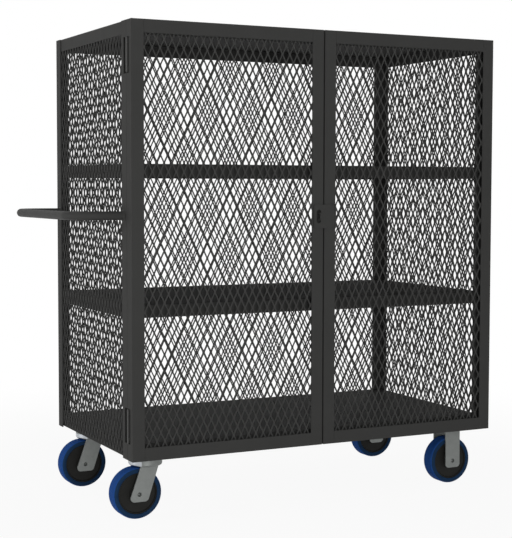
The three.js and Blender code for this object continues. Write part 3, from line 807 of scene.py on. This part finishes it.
def make_hinge(side, level):
    """A three-knuckle butt hinge: the frame's leaf has the end knuckles, and the door's the middle one."""
    prefix = f"{side}_{level}_hinge"
    axis = joint_at(f"{side}_door_hinge")
    inward = 1 if side == "left" else -1
    foot, top = (corner.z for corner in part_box(f"{prefix}_frame_leaf"))
    step = (top - foot) * END_KNUCKLE_SHARE
    end_bands = [(foot, foot + step - KNUCKLE_GAP), (top - step + KNUCKLE_GAP, top)]
    make_hinge_leaf(f"{prefix}_frame_leaf", axis, inward, 1, (foot, top), end_bands)
    make_hinge_leaf(f"{prefix}_door_leaf", axis, inward, -1, (foot, top), [(foot + step, top - step)])

    seat = (top - foot) / 2 + SEAT_GAP
    head = dome(HINGE_HEAD_RADIUS, HINGE_HEAD_HEIGHT - SEAT_GAP)
    half_pin = [(radius, seat + height) for radius, height in head] + [(HINGE_PIN_RADIUS, seat)]
    place = Matrix.Translation((axis.x, axis.y, (foot + top) / 2))
    pin = blank(f"{prefix}_pin_round", turned(mirrored(half_pin), SMALL_SIDES), place)
    dressed(pin, "cart_frame", LIGHT_PAINTED_KNUCKLE_COAT, f"{prefix}_pin")


def make_hasp_leaf():
    """The slotted leaf, rounded at its free end, and its knuckle on a neck between the base's two."""
    low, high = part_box("hasp_leaf")
    axis = joint_at("hasp_hinge")
    slot_x = middle("padlock_staple").x
    bore = HASP_PIN_RADIUS + SEAT_GAP
    step = (high.z - low.z) * END_KNUCKLE_SHARE
    inner = axis.x - HASP_KNUCKLE_RADIUS - KNUCKLE_GAP
    outline = rounded([(low.x, low.z, HASP_CORNER), (inner, low.z, 0),
                       (inner, high.z, 0), (low.x, high.z, HASP_CORNER)])
    half = HASP_SLOT_WIDTH / 2
    straight = HASP_SLOT_HEIGHT / 2 - half
    slot = arc((slot_x, axis.z + straight), half, 0, 180, steps=12)
    slot += arc((slot_x, axis.z - straight), half, 180, 360, steps=12)
    back = axis.y + HASP_KNUCKLE_RADIUS - HASP_BASE_SHEET - HASP_LEAF_GAP
    leaf = eased(blank("hasp_leaf_slotted", plate([outline, slot], HASP_SHEET), upright(back)), STEEL_EDGE)
    into_wall = axis.x - (HASP_KNUCKLE_RADIUS + bore) / 2
    neck = box_blank("neck", (axis.x - 2 * HASP_KNUCKLE_RADIUS, back - HASP_SHEET, low.z + step),
                     (into_wall, back, high.z - step))
    barrel = knuckle("barrel", axis, low.z + step, high.z - step, HASP_KNUCKLE_RADIUS, bore)
    dressed(joined(joined(leaf, neck), barrel), "hasp", POWDER_COAT, "hasp_leaf")


def make_staple():
    """The padlock staple: a round bar bent to a loop, with its feet on the left lock stile."""
    low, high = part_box("padlock_staple")
    x, radius = (low.x + high.x) / 2, (high.x - low.x) / 2
    tip = low.y + radius
    foot, top = low.z + radius, high.z - radius
    path = [(x, high.y, foot), (x, tip, foot), (x, tip, top), (x, high.y, top)]
    loop = blank("padlock_staple_round", swept(bent_path(path, (top - foot) * STAPLE_BEND_SHARE), radius))
    dressed(loop, "left_door", POWDER_COAT, "padlock_staple")


def make_hasp():
    """The base leaf, the slotted leaf and their pin on the right door, and the staple on the left one."""
    dressed(steel("hasp_base_leaf"), "right_door", POWDER_COAT, "hasp_base_leaf")
    make_hasp_leaf()
    dressed(steel("hasp_pin"), "right_door", POWDER_COAT, "hasp_pin")
    make_staple()


def weld_bead(at, axis, radius, leg):
    """A fillet weld round a tube where it meets a face."""
    inside = radius - SEAT_GAP
    profile = [(inside, 0)] + arc((radius + leg, leg), leg, -90, -180, steps=6) + [(inside, leg)]
    return blank("bead", turned(profile, SIDES, ring=True), facing(axis, at))


def make_handle():
    """One bent tube across the left end, with a fillet weld at each post."""
    low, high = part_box("push_handle")
    z = (low.z + high.z) / 2
    out, near, far = low.x + TUBE_RADIUS, low.y + TUBE_RADIUS, high.y - TUBE_RADIUS
    corners = [(high.x, near, z), (out, near, z), (out, far, z), (high.x, far, z)]
    tube = blank("push_handle_tube", swept(bent_path(corners, TUBE_BEND, steps=24), TUBE_RADIUS, SIDES))
    for y in (near, far):
        tube = joined(tube, weld_bead(Vector((high.x, y, z)), (-1, 0, 0), TUBE_RADIUS, WELD_LEG))
    dressed(tube, "cart_frame", HANDLED_COAT, "push_handle")


# Casters

def bolt_holes():
    """The places of a top plate's four holes, from its middle."""
    x, y = PLATE_LENGTH / 2 - PLATE_HOLE_INSET, PLATE_WIDTH / 2 - PLATE_HOLE_INSET
    return [(side * x, end * y) for side in (-1, 1) for end in (-1, 1)]


def top_plate(name, centre, top):
    """A caster's top plate with rounded corners and its four bolt holes."""
    x, y = PLATE_LENGTH / 2, PLATE_WIDTH / 2
    rim = rounded([(*corner, PLATE_CORNER) for corner in ((-x, -y), (x, -y), (x, y), (-x, y))])
    rims = [rim] + [circle(hole, PLATE_HOLE_RADIUS) for hole in bolt_holes()]
    place = Matrix.Translation((centre.x, centre.y, top - PLATE_SHEET))
    return eased(blank(name, plate(rims, PLATE_SHEET), place), STEEL_EDGE)


def make_bolts(name, centre, plate_foot):
    """Four bolts through a caster's plate and the channel above it, each with a washer and a nut."""
    seat = PLATE_SHEET + CHANNEL_WALL + SEAT_GAP
    flat = NUT_RADIUS - NUT_CHAMFER
    head = [(0, -NUT_HEIGHT), (flat, -NUT_HEIGHT), (NUT_RADIUS, NUT_CHAMFER - NUT_HEIGHT),
            (NUT_RADIUS, -WASHER_SHEET), (0, -WASHER_SHEET)]
    washer = [(0, -WASHER_SHEET), (WASHER_RADIUS, -WASHER_SHEET), (WASHER_RADIUS, -SEAT_GAP),
              (BOLT_RADIUS, -SEAT_GAP), (BOLT_RADIUS, seat), (0, seat)]
    nut = [(0, seat), (NUT_RADIUS, seat), (NUT_RADIUS, seat + NUT_HEIGHT - NUT_CHAMFER),
           (flat, seat + NUT_HEIGHT), (0, seat + NUT_HEIGHT)]
    for number, (x, y) in enumerate(bolt_holes(), start=1):
        place = Matrix.Translation((centre.x + x, centre.y + y, plate_foot))
        bolt = blank(f"{name}_bolt_{number}", turned(head, HEX_SIDES), place)
        bolt = joined(bolt, blank("washer", turned(washer, SMALL_SIDES), place))
        bolt = joined(bolt, blank("nut", turned(nut, HEX_SIDES), place))
        dressed(bolt, "cart_frame", FASTENER)


def fork_legs(name, axle, foot_x, foot_width, top_x, top_z):
    """Both legs of a fork, one on each side of the wheel, with rounded feet and a hole for the axle."""
    half_foot, half_top = foot_width / 2, LEG_WIDTH / 2
    foot_z = axle.z - LEG_FOOT
    outline = rounded([(foot_x - half_foot, foot_z, LEG_CORNER), (foot_x + half_foot, foot_z, LEG_CORNER),
                       (top_x + half_top, top_z, 0), (top_x - half_top, top_z, 0)])
    rims = [outline, circle((axle.x, axle.z), AXLE_RADIUS + SEAT_GAP)]
    inside = half_size(f"{name}_wheel_core").y + HUB_GAP
    backs = {"front": axle.y - inside, "rear": axle.y + inside + LEG_SHEET}
    return [eased(blank(f"{name}_{end}_leg", plate(rims, LEG_SHEET), upright(back)), LEG_EDGE, segments=3)
            for end, back in backs.items()]


def race_and_kingpin(pivot, plate_foot, dish_foot):
    """The race that a swivel plate is pressed into, and the kingpin through the dish with its head below."""
    race_foot = dish_foot + DISH_SHEET + BALL_GAP
    head_top = dish_foot - BALL_GAP
    head_foot = head_top - KINGPIN_HEAD_HEIGHT
    profile = [(0, head_foot), (KINGPIN_HEAD_RADIUS, head_foot), (KINGPIN_HEAD_RADIUS, head_top),
               (KINGPIN_RADIUS, head_top), (KINGPIN_RADIUS, race_foot)]
    profile += arc((RACE_RADIUS - RACE_BEND, race_foot + RACE_BEND), RACE_BEND, -90, 0, steps=5)
    profile += [(RACE_RADIUS, plate_foot + RACE_BITE), (0, plate_foot + RACE_BITE)]
    return blank("race", turned(profile), Matrix.Translation((pivot.x, pivot.y, 0)))


def make_dish(name, pivot, dish_foot, dish_top):
    """The pressed dish of a swivel fork in dull zinc, with a painted highlight of bright zinc at the foot of
    its left side.
    """
    inner, floor = DISH_RADIUS - DISH_SHEET, dish_foot + DISH_SHEET
    bore = KINGPIN_RADIUS + KINGPIN_GAP
    highlight_top = dish_foot + DISH_HIGHLIGHT_BAND
    outer_bend, inner_bend = DISH_CORNER, DISH_CORNER / 2
    profile = [(bore, dish_foot)]
    profile += arc((DISH_RADIUS - outer_bend, dish_foot + outer_bend), outer_bend, -90, 0, steps=8)
    profile += [(DISH_RADIUS, highlight_top), (DISH_RADIUS, dish_top), (inner, dish_top)]
    profile += arc((inner - inner_bend, floor + inner_bend), inner_bend, 0, -90, steps=5)
    profile.append((bore, floor))
    dish = blank(f"{name}_dish", turned(profile, ring=True), Matrix.Translation((pivot.x, pivot.y, 0)))
    dressed(dish, f"{name}_caster", BRIGHT_ZINC, f"{name}_swivel_fork")
    # Only a band at the foot of the left side keeps the bright zinc, as a painted highlight; the rest is
    # dull zinc.
    refinish(dish, DULL_ZINC[0], lambda at: at.x > pivot.x - LEG_WIDTH / 2 or at.z > highlight_top)


def make_swivel_caster(name):
    """A swivel caster: a plate with its race and kingpin, and a fork with a pressed dish and raked legs."""
    pivot, axle = joint_at(f"{name}_swivel"), joint_at(f"{name}_wheel_spin")
    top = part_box(f"{name}_swivel_plate")[1].z
    plate_foot = top - PLATE_SHEET
    dish_top = plate_foot - DISH_DROP
    dish_foot = dish_top - DISH_HEIGHT
    carrier = joined(top_plate(f"{name}_plate", pivot, top), race_and_kingpin(pivot, plate_foot, dish_foot))
    dressed(carrier, "cart_frame", BRIGHT_ZINC, f"{name}_swivel_plate")
    make_dish(name, pivot, dish_foot, dish_top)
    foot_x = axle.x - RAKED_FOOT_SETBACK
    for leg in fork_legs(name, axle, foot_x, RAKED_FOOT_WIDTH, pivot.x, dish_foot + DISH_SHEET / 2):
        dressed(leg, f"{name}_caster", DULL_ZINC)
    make_bolts(name, pivot, plate_foot)
    make_wheel(name, axle, f"{name}_caster")


def make_rigid_caster(name):
    """A rigid caster: a plate with two upright legs under it."""
    axle = joint_at(f"{name}_wheel_spin")
    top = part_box(f"{name}_rigid_fork")[1].z
    fork = top_plate(f"{name}_fork", axle, top)
    for leg in fork_legs(name, axle, axle.x, LEG_WIDTH, axle.x, top - PLATE_SHEET / 2):
        fork = joined(fork, leg)
    dressed(fork, "cart_frame", DULL_ZINC, f"{name}_rigid_fork")
    make_bolts(name, axle, top - PLATE_SHEET)
    make_wheel(name, axle, "cart_frame")


def make_tread(name, place, axle, radius):
    """The cast tread with rounded shoulders, lighter blue on its rolling face."""
    half = half_size(f"{name}_tread").y
    profile = arc((radius - TREAD_SHOULDER, half - TREAD_SHOULDER), TREAD_SHOULDER, 0, 90, steps=10)
    profile.append((radius - TREAD_THICKNESS, half - TREAD_FALL))
    cast = blank(f"{name}_tread_cast", turned(mirrored(profile), WHEEL_SIDES, ring=True), place)
    dressed(cast, f"{name}_wheel", POLYURETHANE, f"{name}_tread")
    refinish(cast, ROLLING_FACE_BLUE, lambda at: math.hypot(at.x - axle.x, at.z - axle.z) > radius - ROLLING_FACE_DEPTH)


def make_core(name, place, rim):
    """The moulded core: a rim with a lip on each side, a web set back from it, and the hub."""
    half_rim, half_hub = RIM_WIDTH / 2 - TREAD_FALL, half_size(f"{name}_wheel_core").y
    lip, web = rim - RIM_LIP, half_rim - CORE_DISH
    profile = [(rim, half_rim - RIM_CHAMFER), (rim - RIM_CHAMFER, half_rim), (lip, half_rim),
               (lip - LIP_SLOPE, web), (HUB_RADIUS + HUB_ROOT, web), (HUB_RADIUS, half_hub - HUB_CHAMFER),
               (HUB_RADIUS - HUB_CHAMFER, half_hub), (BEARING_RADIUS + SEAT_GAP, half_hub)]
    core = blank(f"{name}_core", turned(mirrored(profile), WHEEL_SIDES, ring=True), place)
    dressed(core, f"{name}_wheel", MOULDING, f"{name}_wheel_core")


def make_sleeve(name, place):
    """The bearing sleeve between the hub and the axle."""
    half = half_size(f"{name}_wheel_bearing").y
    profile = [(BEARING_RADIUS, half - SLEEVE_CHAMFER), (BEARING_RADIUS - SLEEVE_CHAMFER, half),
               (AXLE_RADIUS + SEAT_GAP, half)]
    sleeve = blank(f"{name}_sleeve", turned(mirrored(profile), SMALL_SIDES, ring=True), place)
    dressed(sleeve, f"{name}_wheel", BRIGHT_ZINC, f"{name}_wheel_bearing")


def make_axle(name, place, body):
    """The axle, flush with the fork, with a cup in each end."""
    half = half_size(f"{name}_axle").y
    profile = [(radius, half - depth) for radius, depth in dome(AXLE_CUP_RADIUS, AXLE_CUP_DEPTH)]
    profile += [(AXLE_RADIUS - AXLE_CHAMFER, half), (AXLE_RADIUS, half - AXLE_CHAMFER)]
    axle = blank(f"{name}_axle_cupped", turned(mirrored(profile), SMALL_SIDES), place)
    dressed(axle, body, DULL_ZINC, f"{name}_axle")


def make_wheel(name, axle, axle_body):
    """A wheel on its axle."""
    place = facing((0, 1, 0), axle)
    radius = half_size(f"{name}_tread").z
    make_tread(name, place, axle, radius)
    make_core(name, place, radius - TREAD_THICKNESS - SEAT_GAP)
    make_sleeve(name, place)
    make_axle(name, place, axle_body)


# The set

def make_camera():
    """The camera at the photograph's place and angle."""
    forward = Vector((math.sin(CAMERA_YAW) * math.cos(CAMERA_PITCH),
                      math.cos(CAMERA_YAW) * math.cos(CAMERA_PITCH), -math.sin(CAMERA_PITCH)))
    level = Vector((math.cos(CAMERA_YAW), -math.sin(CAMERA_YAW), 0))
    above = level.cross(forward)
    right = level * math.cos(CAMERA_ROLL) + above * math.sin(CAMERA_ROLL)
    up = above * math.cos(CAMERA_ROLL) - level * math.sin(CAMERA_ROLL)
    data = bpy.data.cameras.new("camera")
    data.lens = CAMERA_LENS
    data.sensor_width = CAMERA_SENSOR
    camera = bpy.data.objects.new("camera", data)
    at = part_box("left_hinge_stile")[0] + CAMERA_FROM_CORNER
    camera.matrix_world = Matrix.Translation(at) @ Matrix((right, up, -forward)).transposed().to_4x4()
    bpy.context.scene.collection.objects.link(camera)
    bpy.context.scene.camera = camera


def make_softbox(name, at, size, power):
    """A square soft lamp that faces the middle of the cart."""
    data = bpy.data.lights.new(name, "AREA")
    data.shape = "SQUARE"
    data.size = size
    data.energy = power
    lamp = bpy.data.objects.new(name, data)
    lamp.location = at
    lamp.rotation_mode = "QUATERNION"
    lamp.rotation_quaternion = (LIT_POINT - Vector(at)).to_track_quat("-Z", "Y")
    bpy.context.scene.collection.objects.link(lamp)


def seen_directly(owner):
    """1 for rays from the camera, off a gloss or through glass, and 0 for the light that spreads."""
    rays = add_node(owner, "ShaderNodeLightPath").outputs
    seen = add_node(owner, "ShaderNodeMath", {0: rays["Is Camera Ray"], 1: rays["Is Glossy Ray"]},
                    operation="MAXIMUM")
    return add_node(owner, "ShaderNodeMath", {0: seen.outputs[0], 1: rays["Is Transmission Ray"]},
                    operation="MAXIMUM").outputs[0]


def make_surround():
    """A surround that is white where it is seen, and lights softly as a grey."""
    world = cleared(bpy.data.worlds.new("studio"))
    bpy.context.scene.world = world
    tones = {"Factor": seen_directly(world), "A": linear("#8e8e8e"), "B": linear("#ffffff")}
    colour = add_node(world, "ShaderNodeMix", tones, data_type="RGBA")
    light = add_node(world, "ShaderNodeBackground", {"Color": colour.outputs["Result"]})
    add_node(world, "ShaderNodeOutputWorld", {"Surface": light.outputs["Background"]})


def make_floor_paint():
    """A matt off-white that takes the cart's shadow, under the veil of white that keeps it faint."""
    pale = cleared(bpy.data.materials.new("pale_studio_floor"))
    paint = add_node(pale, "ShaderNodeBsdfDiffuse", {"Color": linear("#f6f6f6")})
    glow = add_node(pale, "ShaderNodeEmission", {"Color": linear("#ffffff")})
    place = add_node(pale, "ShaderNodeTexCoord")
    distance = add_node(pale, "ShaderNodeVectorMath", {0: place.outputs["Object"]}, operation="LENGTH")
    reach = {"Value": distance.outputs["Value"], "From Min": VEIL_NEAR, "From Max": VEIL_FAR,
             "To Min": SHADOW_VEIL}
    veil = add_node(pale, "ShaderNodeMapRange", reach, interpolation_type="SMOOTHSTEP")
    shown = add_node(pale, "ShaderNodeMath", {0: veil.outputs["Result"], 1: seen_directly(pale)},
                     operation="MULTIPLY")
    layers = {0: shown.outputs[0], 1: paint.outputs[0], 2: glow.outputs[0]}
    surface = add_node(pale, "ShaderNodeMixShader", layers)
    add_node(pale, "ShaderNodeOutputMaterial", {"Surface": surface.outputs["Shader"]})
    return pale


def make_studio():
    """A white surround, two soft lamps and a pale floor."""
    make_surround()
    make_softbox("side_softbox", at=(-5.0, 0.9, 1.0), size=2.0, power=74)
    make_softbox("front_softbox", at=(-1.5, -5.0, 0.9), size=1.8, power=108)
    disc = plate([circle((0, 0), FLOOR_RADIUS, SIDES)], FLOOR_SHEET)
    floor = blank("studio_floor", disc, Matrix.Translation((0, 0, -FLOOR_SHEET)))
    floor.data.materials.append(make_floor_paint())
    bpy.context.scene.view_settings.view_transform = "Standard"


make_camera()
make_studio()
make_cage()
for door_side in ("left", "right"):
    for hinge_level in ("lower", "upper"):
        make_hinge(door_side, hinge_level)
make_hasp()
make_handle()
for row in ("front", "rear"):
    make_swivel_caster(f"{row}_left")
    make_rigid_caster(f"{row}_right")
